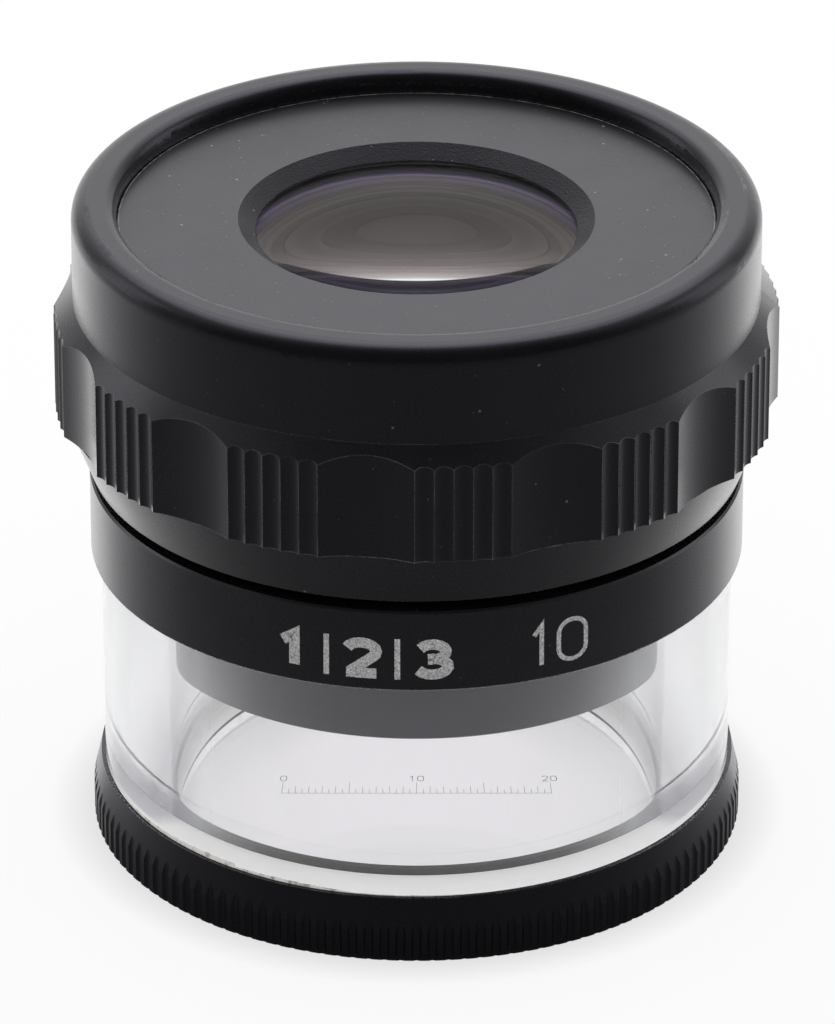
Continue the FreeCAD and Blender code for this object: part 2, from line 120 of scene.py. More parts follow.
# Refractive indices, and how much each coating weakens the reflections of its glass
OXIDE_INDEX = 1.66
ACRYLIC_INDEX = 1.49
CROWN_INDEX = 1.52
EYE_INDEX = 1.58
FLINT_INDEX = 1.62
PLATE_COATING = 1.3
EYE_COATING = 1.64
FIELD_COATING = 1.7

# Faint blue of the black oxide's reflection
OXIDE_TINT = (0.84, 0.81, 1.0, 1.0)

# Height above which the spacer is painted paler, a painted highlight, and above which the cap has less sheen
SPACER_TURN = 39.3
CAP_TURN = 47.4

# Span from front to back over which painted light brightens the insert's top
INSERT_TOP_SPAN = 40.0

# Print on the band. An azimuth is in degrees from the front.
PRINT_SUNK = 0.01
PRINT_PROUD = 0.012
DIAL_AZIMUTH = -9.4
DIAL_FOOT = 22.85
DIAL_HEIGHT = 3.2
DIAL_PITCH = 5.05
DIAL_DIGIT_WIDTH = 2.9
DIAL_WEIGHT = 0.8
DIAL_BAR_PLACES = (-2.53, 2.53)
DIAL_BAR_WEIGHT = 0.4
NUMBER_AZIMUTH = 19.5
NUMBER_FOOT = 22.95
NUMBER_HEIGHT = 3.5
NUMBER_WEIGHT = 0.34
# Each digit with its left edge and its width
NUMBER_DIGITS = (("1", 0.0, 1.7), ("0", 2.1, 2.5))

# Scale under the glass: twenty millimetres in halves, with plain numbers every ten
SCALE_REACH = 10
TICK_WEIGHT = 0.03
TICK_LENGTHS = {"five": 1.6, "one": 1.0, "half": 0.6}
INK_TOP = GLASS_FOOT - 0.002
INK_FOOT = GLASS_FOOT - 0.014
SCALE_NUMBERS = ((-10.25, "0"), (-0.6, "1"), (0.05, "0"), (9.4, "2"), (10.05, "0"))
SCALE_NUMBER_FOOT = 1.8
SCALE_NUMBER_HEIGHT = 0.8
SCALE_NUMBER_WIDTH = 0.5
SCALE_NUMBER_WEIGHT = 0.05

# Smear of bond: the azimuths where it starts, was wiped off, is thickest again and ends, and its two spreads
BOND_START, BOND_WIPE, BOND_LUMP, BOND_END = -72, -34.5, -24, 8
BOND_RISE_SPREAD = 32
BOND_LUMP_SPREAD = 13
BOND_STEPS_PER_DEGREE = 4


class Wire:
    """A node's output that Python's operators extend with Math nodes."""

    def __init__(self, finish, socket):
        self.finish = finish
        self.socket = socket

    def __getitem__(self, name):
        return Wire(self.finish, self.socket.node.outputs[name])

    def _math(self, operation, first, second):
        return self.finish.node("Math", {"operation": operation}, {0: first, 1: second})

    def __add__(self, other):
        return self._math("ADD", self, other)

    __radd__ = __add__

    def __sub__(self, other):
        return self._math("SUBTRACT", self, other)

    def __rsub__(self, other):
        return self._math("SUBTRACT", other, self)

    def __mul__(self, other):
        return self._math("MULTIPLY", self, other)

    __rmul__ = __mul__

    def __truediv__(self, other):
        return self._math("DIVIDE", self, other)

    def __rtruediv__(self, other):
        return self._math("DIVIDE", other, self)

    def __pow__(self, other):
        return self._math("POWER", self, other)

    def __rpow__(self, other):
        return self._math("POWER", other, self)

    def __gt__(self, other):
        return self._math("GREATER_THAN", self, other)

    def __lt__(self, other):
        return self._math("LESS_THAN", self, other)

    def largest(self, other):
        return self._math("MAXIMUM", self, other)

    def smallest(self, other):
        return self._math("MINIMUM", self, other)


class Finish:
    """A node tree under construction, for a material or the world."""

    def __init__(self, owner):
        owner.use_nodes = True
        self.owner = owner
        self.tree = owner.node_tree
        self.tree.nodes.clear()

    def node(self, kind, settings=None, sockets=None):
        """Adds a node, sets it up, and gives its first shown output."""
        made = self.tree.nodes.new("ShaderNode" + kind)
        for name, setting in (settings or {}).items():
            if name == "stops":
                self._set_ramp(made, setting)
            else:
                setattr(made, name, setting)
        for name, item in (sockets or {}).items():
            if isinstance(item, Wire):
                self.tree.links.new(item.socket, made.inputs[name])
            else:
                made.inputs[name].default_value = item
        shown = [socket for socket in made.outputs if socket.enabled]
        return Wire(self, shown[0]) if shown else None

    @staticmethod
    def _set_ramp(made, stops):
        ramp = made.color_ramp
        while len(ramp.elements) < len(stops):
            ramp.elements.new(1.0)
        for element, (place, tone) in zip(ramp.elements, stops):
            element.position = place
            element.color = (tone, tone, tone, 1.0)

    def place(self):
        """Where a point is on the object, in metres."""
        return self.node("TexCoord")["Object"]

    def axes(self):
        """A point's place as separate X, Y and Z, in metres."""
        return self.node("SeparateXYZ", {}, {"Vector": self.place()})

    def radius(self):
        """How far a point is from the optical axis, in metres."""
        axes = self.axes()
        return (axes["X"] * axes["X"] + axes["Y"] * axes["Y"]) ** 0.5

    def height(self):
        return self.axes()["Z"]

    def noise(self, scale, detail=2.0, roughness=0.5):
        return self.node("TexNoise", {}, {
            "Vector": self.place(), "Scale": scale, "Detail": detail, "Roughness": roughness,
        })

    def turning_marks(self, scale):
        """Noise that changes with height alone, like the marks of a turning tool."""
        return self.node("TexNoise", {"noise_dimensions": "1D"}, {
            "W": self.height(), "Scale": scale, "Detail": 2.0,
        })

    def ramp(self, value, stops):
        return self.node("ValToRGB", {"stops": stops}, {"Fac": value})

    def bump(self, height, distance, under=None):
        sockets = {"Height": height, "Distance": distance, "Strength": 1.0}
        if under:
            sockets["Normal"] = under
        return self.node("Bump", {}, sockets)

    def specks(self, cells_per_metre, radius_share, chosen_share):
        """1 on small round specks, one in a share of the cells."""
        cells = self.node("TexVoronoi", {}, {"Vector": self.place(), "Scale": cells_per_metre})
        pick = self.node("SeparateColor", {}, {"Color": cells["Color"]})
        return (cells["Distance"] < radius_share) * (pick["Red"] < chosen_share)

    def colour(self, share, first, second):
        """A colour between two others; the Mix node's colour sockets are its sixth and seventh."""
        return self.node("Mix", {"data_type": "RGBA"}, {0: share, 6: first, 7: second})["Result"]

    def show(self, shader):
        self.node("OutputMaterial", {}, {"Surface": shader})
        return self.owner


def grey(level, warmth=0.0):
    return (level * (1 + warmth), level, level * (1 - warmth), 1.0)


def new_finish(name):
    return Finish(bpy.data.materials.new(name))


def black_metal(name, level, roughness, sheen, grain, dust, rough_cone=None, edge_wear_and_highlight=None, dull_above=None,
                rim_dust_and_highlight=None, painted_light_inside=None, dust_level=0.06):
    """Black anodised aluminium, finely grained and softly mottled, with a little dust.

    It is coarser inside the rough cone's radius, paler along its edges with wear and a painted highlight,
    less shiny above the height dull_above, and dusty along its rim, where the pale band is partly a painted
    highlight.
    Inside the painted light radius it is painted pale with a painted glow, standing for the light that the
    paper and the clear pieces throw there. All these are in millimetres.
    """
    finish = new_finish(name)
    mottle = finish.noise(260.0, 4.0, 0.6)
    fine = finish.noise(4200.0, 3.0, 0.7)
    specks = finish.specks(500.0, 0.05, dust).largest(finish.specks(1300.0, 0.06, dust))
    base = finish.colour(mottle, grey(level * 0.7), grey(level * 1.3))
    rough = finish.ramp(mottle * 0.4 + fine * 0.6, [(0.35, roughness - 0.05), (0.65, roughness + 0.05)])
    normal = finish.bump(fine, grain * MM)
    # Painted highlight and wear: the edges are painted paler.
    if edge_wear_and_highlight:
        rounded = finish.node("Bevel", {"samples": 8}, {"Radius": edge_wear_and_highlight * MM})
        sharp = finish.node("NewGeometry")["Normal"]
        kept = finish.node("VectorMath", {"operation": "DOT_PRODUCT"}, {0: rounded, 1: sharp})
        patchy = finish.ramp(mottle, [(0.4, 0.25), (0.6, 1.0)])
        wear_and_highlight = finish.ramp(1 - kept, [(0.01, 0.0), (0.06, 1.0)]) * patchy
        base = finish.colour(wear_and_highlight, base, grey(0.15))
    if rough_cone:
        inside = finish.radius() < rough_cone * MM
        coarse = finish.noise(6500.0, 2.0, 0.7)
        normal = finish.bump(coarse * inside, 0.2 * MM, normal)
        rough = rough.largest(inside * 0.5)
    # Painted highlight and dust: a pale patchy band is painted along the rim.
    if rim_dust_and_highlight:
        patchy = finish.ramp(finish.noise(2600.0), [(0.35, 0.2), (0.6, 1.0)])
        specks = specks.largest((finish.radius() > (rim_dust_and_highlight - 0.16) * MM) * patchy)
    if dull_above:
        sheen = finish.ramp(finish.height() / MM - dull_above, [(0.0, sheen), (1.0, sheen * 0.2)])
    glow = grey(0.0)
    # Painted light: inside this radius the metal is painted pale and given a painted glow.
    if painted_light_inside:
        painted_light_zone = finish.radius() < painted_light_inside * MM
        base = finish.colour(painted_light_zone, base, grey(0.6))
        glow = finish.ramp(fine, [(0.3, 0.42), (0.7, 0.5)]) * painted_light_zone
    return finish.show(finish.node("BsdfPrincipled", {}, {
        "Base Color": finish.colour(specks, base, grey(dust_level, 0.05)),
        "Roughness": rough, "Normal": normal, "IOR": OXIDE_INDEX, "Specular Tint": OXIDE_TINT,
        "Coat Weight": sheen, "Coat Roughness": 0.25, "Coat IOR": 1.5,
        "Emission Color": glow, "Emission Strength": 1.0,
    }))


def lens_cement():
    """The cemented face between the field glasses: light goes through unbent, with a trace of haze."""
    finish = new_finish("lens_cement")
    return finish.show(finish.node("BsdfPrincipled", {}, {
        "Base Color": grey(0.8), "Roughness": 0.6, "Specular IOR Level": 0.0,
        "Alpha": finish.ramp(finish.noise(400.0), [(0.3, 0.0), (0.7, 0.03)]),
    }))


def coated_glass(name, ior, coating, edge_radius=None, tint_and_shade=(1, 1, 1, 1)):
    """Glass whose coating weakens reflections, purple face on and warm at a flat angle.

    With an edge radius, its edge is ground.
    """
    finish = new_finish(name)
    fresnel = finish.node("Fresnel", {}, {"IOR": ior})
    through = finish.node("BsdfRefraction", {}, {"Color": tint_and_shade, "IOR": ior, "Roughness": 0.0})
    cool, warm, plain = (finish.node("BsdfAnisotropic", {}, {"Color": colour, "Roughness": 0.0})
                         for colour in ((0.8, 0.72, 1.0, 1), (1.0, 0.9, 0.88, 1), (1, 1, 1, 1)))
    flat = finish.ramp(fresnel, [(0.06, 0.0), (0.12, 1.0)])
    mirror = finish.node("MixShader", {}, {0: flat, 1: cool, 2: warm})
    mirror = finish.node("MixShader", {}, {0: fresnel > 0.7, 1: mirror, 2: plain})
    shader = finish.node("MixShader", {}, {0: fresnel ** coating, 1: through, 2: mirror})
    if edge_radius:
        on_edge = finish.radius() > (edge_radius - 0.02) * MM
        rings = finish.ramp(finish.turning_marks(9000.0), [(0.35, 0.2), (0.65, 0.45)])
        ground = finish.node("BsdfPrincipled", {}, {"Base Color": rings, "Roughness": 0.5})
        shader = finish.node("MixShader", {}, {0: on_edge, 1: shader, 2: ground})
    return finish.show(shader)


def clear_acrylic():
    """Polished acrylic whose bore is hazier the flatter it is seen, with painted shade in an arc at each side
    and a faint painted glow elsewhere in its haze.
    """
    finish = new_finish("clear_acrylic")
    in_bore = finish.radius() < (SKIRT_BORE + 0.1) * MM
    polished = finish.node("BsdfGlass", {}, {
        "Color": (0.99, 0.988, 0.992, 1), "IOR": ACRYLIC_INDEX, "Roughness": 0.0,
    })
    flat = finish.node("LayerWeight", {}, {"Blend": 0.5})["Facing"]
    # Painted shade: the haze is painted darker in an arc at each side.
    shaded_arc = finish.ramp(flat, [(0.2, 0.0), (0.26, 1.0)])
    shaded_arc = shaded_arc * finish.ramp(flat + finish.height() / MM * 0.008, [(0.34, 1.0), (0.42, 0.0)])
    cloudy = finish.colour(finish.noise(300.0, 3.0), grey(0.85, -0.02), grey(0.95, -0.02))
    # Painted glow: outside that arc the haze emits a little light.
    haze = finish.node("BsdfPrincipled", {}, {
        "Base Color": finish.colour(shaded_arc, cloudy, (0.4, 0.4, 0.44, 1)), "Roughness": 0.6,
        "Emission Color": 1 - shaded_arc, "Emission Strength": 0.08,
    })
    hazy = finish.ramp(flat, [(0.05, 0.015), (0.085, 0.032), (0.13, 0.08), (0.175, 0.2), (0.21, 0.33)])
    hazy = (hazy + shaded_arc * 0.2) * in_bore
    shader = finish.node("MixShader", {}, {0: hazy, 1: polished, 2: haze})
    path = finish.node("LightPath")
    lets_in = finish.node("BsdfTransparent", {}, {"Color": (0.94, 0.94, 0.94, 1)})
    light = path["Is Shadow Ray"].largest(path["Is Diffuse Ray"])
    return finish.show(finish.node("MixShader", {}, {0: light, 1: shader, 2: lets_in}))


def ground_acrylic():
    """The skirt's ground foot, with a painted glow that stands for light the acrylic leads down to it, and
    painted shade at its sides.
    """
    finish = new_finish("ground_acrylic")
    # Painted shade: the foot is painted darker at its sides, near its inner edge.
    across = finish.axes()["X"]
    side = finish.ramp((across * across) ** 0.5 / finish.radius(), [(0.81, 0.0), (0.865, 1.0)])
    inner = finish.ramp(finish.radius() / MM / 100, [(0.2145, 1.0), (0.218, 0.0)])
    patchy = finish.colour(finish.noise(700.0, 3.0), grey(0.86), grey(0.96))
    base = finish.colour(side * inner, patchy, (0.61, 0.61, 0.64, 1))
    # Painted glow: the foot emits light in its own colour.
    return finish.show(finish.node("BsdfPrincipled", {}, {
        "Base Color": base, "Roughness": 0.6, "Emission Color": base, "Emission Strength": 0.24,
    }))


def machined_insert():
    """Black insert whose bore is painted pale with turning marks and given a painted glow that fades upwards,
    and whose top is painted lighter towards the back, a painted highlight.
    """
    finish = new_finish("machined_insert")
    below_top = (INSERT_TOP - 0.02) * MM
    in_bore = (finish.radius() < (INSERT_BORE + 0.03) * MM) * (finish.height() < below_top)
    marks = finish.turning_marks(6000.0)
    # Painted light: the bore is painted pale, with turning marks.
    painted_bore_light = finish.ramp(marks, [(0.35, 0.5), (0.65, 0.66)])
    # Painted highlight: the top is painted lighter towards the back, and glows there.
    backward = finish.axes()["Y"] / MM / INSERT_TOP_SPAN + 0.5
    painted_back_light = (finish.height() > below_top) * finish.ramp(backward, [(0.45, 0.05), (0.75, 0.45)])
    black = finish.ramp(finish.noise(1500.0, 3.0), [(0.3, 0.04), (0.7, 0.055)]).largest(painted_back_light)
    # Painted glow in the bore, strongest at its foot.
    painted_bore_glow = finish.ramp((finish.height() / MM - INSERT_FOOT) / (INSERT_TOP - INSERT_FOOT),
                      [(0.0, 0.36), (0.35, 0.2), (0.65, 0.12), (1.0, 0.1)])
    return finish.show(finish.node("BsdfPrincipled", {}, {
        "Base Color": in_bore * painted_bore_light + (1 - in_bore) * black, "Roughness": 0.45,
        "Normal": finish.bump(marks, 0.004 * MM),
        "Emission Color": in_bore * painted_bore_glow + painted_back_light * 0.6, "Emission Strength": 1.0,
    }))


def ridged_black():
    """Black of the ridged spacer, painted paler above its turn height as a painted highlight, and painted
    bluish at the very top as a painted reflection.
    """
    finish = new_finish("ridged_black")
    rise = finish.height() / MM - SPACER_TURN
    marks = finish.turning_marks(7000.0)
    # Painted highlight above the turn height, and a painted bluish reflection at the very top.
    painted_upper_light = finish.ramp(marks, [(0.35, 0.075), (0.65, 0.11)])
    painted_upper_light = finish.colour(finish.ramp(rise / 3, [(0.5, 0.0), (0.65, 1.0)]), painted_upper_light, (0.24, 0.21, 0.36, 1))
    return finish.show(finish.node("BsdfPrincipled", {}, {
        "Base Color": finish.colour(finish.ramp(rise, [(0.0, 0.0), (0.4, 1.0)]), grey(0.006), painted_upper_light),
        "Roughness": finish.ramp(marks, [(0.3, 0.42), (0.7, 0.56)]), "Normal": finish.bump(marks, 0.002 * MM),
    }))


def rubber(name, level):
    finish = new_finish(name)
    fine = finish.noise(3000.0, 3.0, 0.6)
    return finish.show(finish.node("BsdfPrincipled", {}, {
        "Base Color": finish.colour(fine, grey(level * 0.8), grey(level * 1.2)),
        "Roughness": 0.6,
        "Normal": finish.bump(fine, 0.006 * MM),
    }))


def blued_steel():
    finish = new_finish("blued_steel")
    fine = finish.noise(2500.0, 3.0, 0.6)
    return finish.show(finish.node("BsdfPrincipled", {}, {
        "Base Color": finish.colour(fine, grey(0.08), grey(0.14)),
        "Metallic": 1.0,
        "Roughness": finish.ramp(fine, [(0.3, 0.28), (0.7, 0.42)]),
    }))


def grey_print():
    """Light grey print with the speckle of a coarse screen."""
    finish = new_finish("grey_print")
    fine = finish.noise(9000.0, 2.0, 0.8)
    return finish.show(finish.node("BsdfPrincipled", {}, {
        "Base Color": finish.ramp(fine, [(0.38, 0.13), (0.62, 0.46)]),
        "Roughness": 0.55,
        "Normal": finish.bump(fine, 0.004 * MM),
    }))


def scale_ink():
    finish = new_finish("scale_ink")
    fine = finish.noise(4000.0)
    return finish.show(finish.node("BsdfPrincipled", {}, {
        "Base Color": finish.colour(fine, grey(0.1), grey(0.16)), "Roughness": 0.5,
    }))


def dried_bond():
    """Clear bond that has squeezed out and dried whitish."""
    finish = new_finish("foot_bond")
    fine = finish.noise(1200.0, 4.0, 0.7)
    whitish = finish.ramp(fine, [(0.36, 0.0), (0.5, 1.0)])
    return finish.show(finish.node("BsdfPrincipled", {}, {
        "Base Color": finish.colour(whitish, grey(0.3, 0.06), grey(0.68, 0.04)),
        "Roughness": 0.45,
        "Normal": finish.bump(fine, 0.01 * MM),
    }))


def mesh_piece(name, verts, faces, material, body, smooth=True):
    """Mesh object from points in millimetres, riding on a CAD body."""
    mesh = bpy.data.meshes.new(name)
    mesh.from_pydata([Vector(v) * MM for v in verts], [], faces)
    build = bmesh.new()
    build.from_mesh(mesh)
    bmesh.ops.recalc_face_normals(build, faces=build.faces)
    build.to_mesh(mesh)
    build.free()
    mesh.polygons.foreach_set("use_smooth", [smooth] * len(mesh.polygons))
    if smooth:
        mesh.set_sharp_from_angle(angle=math.radians(32))
    mesh.materials.append(material)
    piece = bpy.data.objects.new(name, mesh)
    bpy.context.scene.collection.objects.link(piece)
    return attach(piece, body)


def turned(name, section, materials, body, segments=384):
    """Solid turned from a closed section of (radius, height, material index of the run that starts there)."""
    rings, verts, faces, kinds = [], [], [], []
    for radius, height, _ in section:
        count = segments if radius else 1
        rings.append((len(verts), count))
        for step in range(count):
            angle = 2 * math.pi * step / segments
            verts.append((radius * math.cos(angle), radius * math.sin(angle), height))
    for index, (_, _, kind) in enumerate(section):
        (first, count), (after, after_count) = rings[index], rings[(index + 1) % len(rings)]
        if count == after_count == 1:
            continue
        for step in range(segments):
            turn = (step + 1) % segments
            corners = [first + step % count, first + turn % count]
            corners += [after + turn % after_count, after + step % after_count]
            faces.append(tuple(dict.fromkeys(corners)))
            kinds.append(kind)
    piece = mesh_piece(name, verts, faces, materials[0], body)
    for material in materials[1:]:
        piece.data.materials.append(material)
    piece.data.polygons.foreach_set("material_index", kinds)
    return piece


def lens_heights(node, radius):
    """Heights of a lens's points on its axis and on its rim, each from the lowest."""
    on_axis = {round(point.z, 3) for point in points_mm(node) if from_axis(point) < 0.01}
    on_rim = {round(point.z, 3) for point in points_mm(node) if from_axis(point) > radius - 0.01}
    return sorted(on_axis), sorted(on_rim)


def dome(radius, edge, vertex, kind=0, steps=60):
    """Section of a spherical face from its edge to the axis."""
    rise = vertex - edge
    ball = (radius ** 2 + rise ** 2) / (2 * rise)
    section = []
    for step in range(steps + 1):
        across = radius * (1 - step / steps)
        fall = ball - math.copysign(math.sqrt(ball ** 2 - across ** 2), ball)
        section.append((across, vertex - fall, kind))
    return section


def make_skirt():
    """The skirt stands a hair above its foot, so that its ground face shows and not the insert under it."""
    foot = SKIRT_FOOT + HAIR
    section = [
        (SKIRT_BORE, foot, 1), (SKIRT_RADIUS, foot, 0), (SKIRT_RADIUS, SKIRT_SHOULDER, 0),
        (SKIRT_SPIGOT, SKIRT_SHOULDER, 0), (SKIRT_SPIGOT, SKIRT_TOP, 0), (SKIRT_BORE, SKIRT_TOP, 0),
    ]
    finishes = [clear_acrylic(), ground_acrylic()]
    skirt = turned("clear_skirt_turned", section, finishes, "base", 720)
    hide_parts("clear_skirt")


def make_eye_lens():
    (vertex,), (rim_foot, rim_edge) = lens_heights("eye_lens", EYE_RADIUS)
    section = [(0, rim_foot, 0), (EYE_RADIUS, rim_foot, 0)] + dome(EYE_RADIUS, rim_edge, vertex)
    glass = coated_glass("eye_glass", EYE_INDEX, EYE_COATING, EYE_RADIUS)
    lens = turned("eye_lens_turned", section, [glass], "head")
    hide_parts("eye_lens")


def make_field_lenses():
    """The crown and the flint glass, each with the cement on the face that they share."""
    cement = lens_cement()
    (low, vertex), (rim_foot, rim_edge) = lens_heights("field_lens_crown", FIELD_RADIUS)
    under = [(across, height, 1) for across, height, _ in reversed(dome(FIELD_RADIUS, rim_foot, low))]
    section = under[:-1] + [(FIELD_RADIUS, rim_foot, 0)] + dome(FIELD_RADIUS, rim_edge, vertex)
    glass = coated_glass("crown_glass", CROWN_INDEX, FIELD_COATING)
    crown = turned("field_lens_crown_turned", section, [glass, cement], "head")
    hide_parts("field_lens_crown")

    (vertex,), (rim_foot, rim_edge) = lens_heights("field_lens_flint", FIELD_RADIUS)
    section = [(0, rim_foot, 0), (FIELD_RADIUS, rim_foot, 0)] + dome(FIELD_RADIUS, rim_edge, vertex, 1)
    glass = coated_glass("flint_glass", FLINT_INDEX, FIELD_COATING)
    flint = turned("field_lens_flint_turned", section, [glass, cement], "head")
    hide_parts("field_lens_flint")


def arc(centre_x, centre_y, radius_x, radius_y, start, end, steps=10):
    """Points along part of an ellipse, angles in degrees."""
    angles = [math.radians(start + (end - start) * step / steps) for step in range(steps + 1)]
    return [(centre_x + radius_x * math.cos(turn), centre_y + radius_y * math.sin(turn)) for turn in angles]


# Digits as strokes on a grid 4 wide and 7 high
DIGIT_STROKES = {
    "0": [arc(2, 4.9, 2, 2.1, 0, 180) + arc(2, 2.1, 2, 2.1, 180, 360) + [(4, 4.9)]],
    "1": [[(0.6, 5.3), (2.3, 7), (2.3, 0)]],
    "2": [arc(2, 5.1, 2, 1.9, 165, -40) + [(0.55, 0.35)], [(-0.1, 0), (4, 0)]],
    "3": [
        arc(1.9, 5.25, 1.8, 1.75, 155, -90) + [(1.3, 3.5)],
        [(1.3, 3.6)] + arc(1.9, 1.85, 2.1, 1.85, 90, -155),
    ],
}


def digit_strokes(digit, left, height, width, weight, foot=0.0):
    """Strokes of a digit whose ink fills a box."""
    scale_x, scale_y = (width - weight) / 4, (height - weight) / 7
    half = weight / 2
    return [([(left + half + x * scale_x, foot + half + y * scale_y) for x, y in path], weight)
            for path in DIGIT_STROKES[digit]]


def stroke_strip(path, width):
    """Left and right edge of a stroke along a path, with mitred corners and short steps."""
    points = [Vector(path[0])]
    for corner in path[1:]:
        run = Vector(corner) - points[-1]
        steps = max(1, math.ceil(run.length / 0.4))
        points += [points[-1] + run * (step + 1) / steps for step in range(steps)]
    closed = (points[0] - points[-1]).length < 1e-6
    sides = []
    for index, point in enumerate(points):
        before = points[index] - points[index - 1] if index else None
        after = points[index + 1] - points[index] if index + 1 < len(points) else None
        if closed and before is None:
            before = points[-1] - points[-2]
        if closed and after is None:
            after = points[1] - points[0]
        before = (before or after).normalized()
        after = (after or before).normalized()
        along = (before + after).normalized()
        across = Vector((-along.y, along.x)) * width / 2 / max(along.dot(before), 0.35)
        sides.append((point - across, point + across))
    return sides


def wrapped(across, height, radius, azimuth):
    """A point on a cylinder, from a distance round it and a height."""
    angle = math.radians(azimuth) + across / radius
    return (radius * math.sin(angle), -radius * math.cos(angle), height)


def swept(name, runs, material, body, smooth):
    """Solid strips, each through a run of four-cornered sections."""
    verts, faces = [], []
    for sections in runs:
        first = len(verts)
        for section in sections:
            verts += section
        for row in range(first, first + 4 * (len(sections) - 1), 4):
            for side in range(4):
                after = (side + 1) % 4
                faces.append((row + side, row + 4 + side, row + 4 + after, row + after))
        faces.append((first, first + 1, first + 2, first + 3))
        faces.append(tuple(len(verts) - 1 - side for side in range(4)))
    mesh_piece(name, verts, faces, material, body, smooth)


def print_on_band(name, strokes, azimuth, foot, material):
    """Thin raised print on the band from strokes, bent round it."""
    inner, outer = BAND_RADIUS - PRINT_SUNK, BAND_RADIUS + PRINT_PROUD
    runs = []
    for path, width in strokes:
        runs.append([
            [wrapped(point.x, foot + point.y, radius, azimuth)
             for point, radius in ((low, outer), (high, outer), (high, inner), (low, inner))]
            for low, high in stroke_strip(path, width)
        ])
    swept(name, runs, material, "base", False)


def make_band_print():
    """Three plain numbers with bars between them, and a plain number to their right."""
    paint = grey_print()
    marks = []
    for place, digit in ((-1, "1"), (0, "2"), (1, "3")):
        left = place * DIAL_PITCH - DIAL_DIGIT_WIDTH / 2
        marks += digit_strokes(digit, left, DIAL_HEIGHT, DIAL_DIGIT_WIDTH, DIAL_WEIGHT)
    marks += [([(x, 0), (x, DIAL_HEIGHT)], DIAL_BAR_WEIGHT) for x in DIAL_BAR_PLACES]
    print_on_band("band_dial", marks, DIAL_AZIMUTH, DIAL_FOOT, paint)
    number = []
    for digit, left, width in NUMBER_DIGITS:
        number += digit_strokes(digit, left, NUMBER_HEIGHT, width, NUMBER_WEIGHT)
    print_on_band("band_number", number, NUMBER_AZIMUTH, NUMBER_FOOT, paint)


def make_bond():
    """Thin smear of bond along the front left of the skirt's foot, with a step where it was wiped off."""
    inner = SKIRT_RADIUS - 0.02
    run = []
    for step in range((BOND_END - BOND_START) * BOND_STEPS_PER_DEGREE + 1):
        azimuth = BOND_START + step / BOND_STEPS_PER_DEGREE
        before, after = 0.0, 0.0
        if azimuth < BOND_WIPE:
            before = min(1.0, (azimuth - BOND_START) / BOND_RISE_SPREAD)
        elif azimuth > BOND_WIPE:
            after = max(0.0, 1 - ((azimuth - BOND_LUMP) / BOND_LUMP_SPREAD) ** 2)
        wander = 1 + 0.25 * noise.noise(Vector((azimuth * 0.6, 0, 0)))
        high = SKIRT_FOOT + 0.06 + (0.3 * before + 0.16 * after) * wander
        proud = SKIRT_RADIUS + 0.02 + 0.04 * (before + after) * wander
        run.append([wrapped(0, level, radius, azimuth) for level, radius in (
            (SKIRT_FOOT, inner), (SKIRT_FOOT, proud), (high - 0.03, proud - 0.005), (high, inner))])
    swept("foot_bond", [run], dried_bond(), "base", True)


def make_scale_marks():
    """The scale's ink on the underside of the glass."""
    strokes = [([(-SCALE_REACH, 0), (SCALE_REACH, 0)], TICK_WEIGHT)]
    for half in range(4 * SCALE_REACH + 1):
        kind = "five" if half % 10 == 0 else "one" if half % 2 == 0 else "half"
        place = half / 2 - SCALE_REACH
        strokes.append(([(place, 0), (place, TICK_LENGTHS[kind])], TICK_WEIGHT))
    for left, digit in SCALE_NUMBERS:
        strokes += digit_strokes(digit, left, SCALE_NUMBER_HEIGHT, SCALE_NUMBER_WIDTH, SCALE_NUMBER_WEIGHT,
                                 SCALE_NUMBER_FOOT)
    runs = []
    for path, width in strokes:
        runs.append([
            [(point.x, point.y, level)
             for point, level in ((low, INK_TOP), (high, INK_TOP), (high, INK_FOOT), (low, INK_FOOT))]
            for low, high in stroke_strip(path, width)
        ])
    swept("scale_marks", runs, scale_ink(), "scale", False)


def make_camera():
    camera = bpy.data.cameras.new("camera")
    camera.sensor_fit = "VERTICAL"
    camera.sensor_height = SENSOR_HEIGHT
    camera.lens = FOCAL_PIXELS * SENSOR_HEIGHT / IMAGE_HEIGHT_PIXELS
    camera.clip_start = 0.01
    holder = bpy.data.objects.new("camera", camera)
    holder.location = Vector(CAMERA_PLACE) * MM
    holder.rotation_euler = (math.pi / 2 - CAMERA_TILT, 0.0, 0.0)
    bpy.context.scene.collection.objects.link(holder)
    bpy.context.scene.camera = holder


def make_world():
    world = bpy.data.worlds.new("studio")
    bpy.context.scene.world = world
    finish = Finish(world)
    ray = finish.node("SeparateXYZ", {}, {"Vector": finish.node("TexCoord")["Generated"]})
    path = finish.node("LightPath")
    plain = path["Is Transmission Ray"].largest(1 - path["Is Glossy Ray"])
    backward = ray["Y"] * 0.5 + 0.5
    aside = finish.ramp((ray["X"] * ray["X"]) ** 0.5, ASIDE_STOPS)
    most = aside.largest(finish.ramp(backward, BACK_STOPS))
    share = plain.largest(finish.ramp(backward, BACKDROP_STOPS).smallest(most))
    dim = finish.node("Background", {}, {"Color": (0, 0, 0, 1), "Strength": 1.0})
    white = finish.node("Background", {}, {"Color": (1, 1, 1, 1), "Strength": 1.0})
    finish.node("OutputWorld", {}, {"Surface": finish.node("MixShader", {}, {0: share, 1: dim, 2: white})})


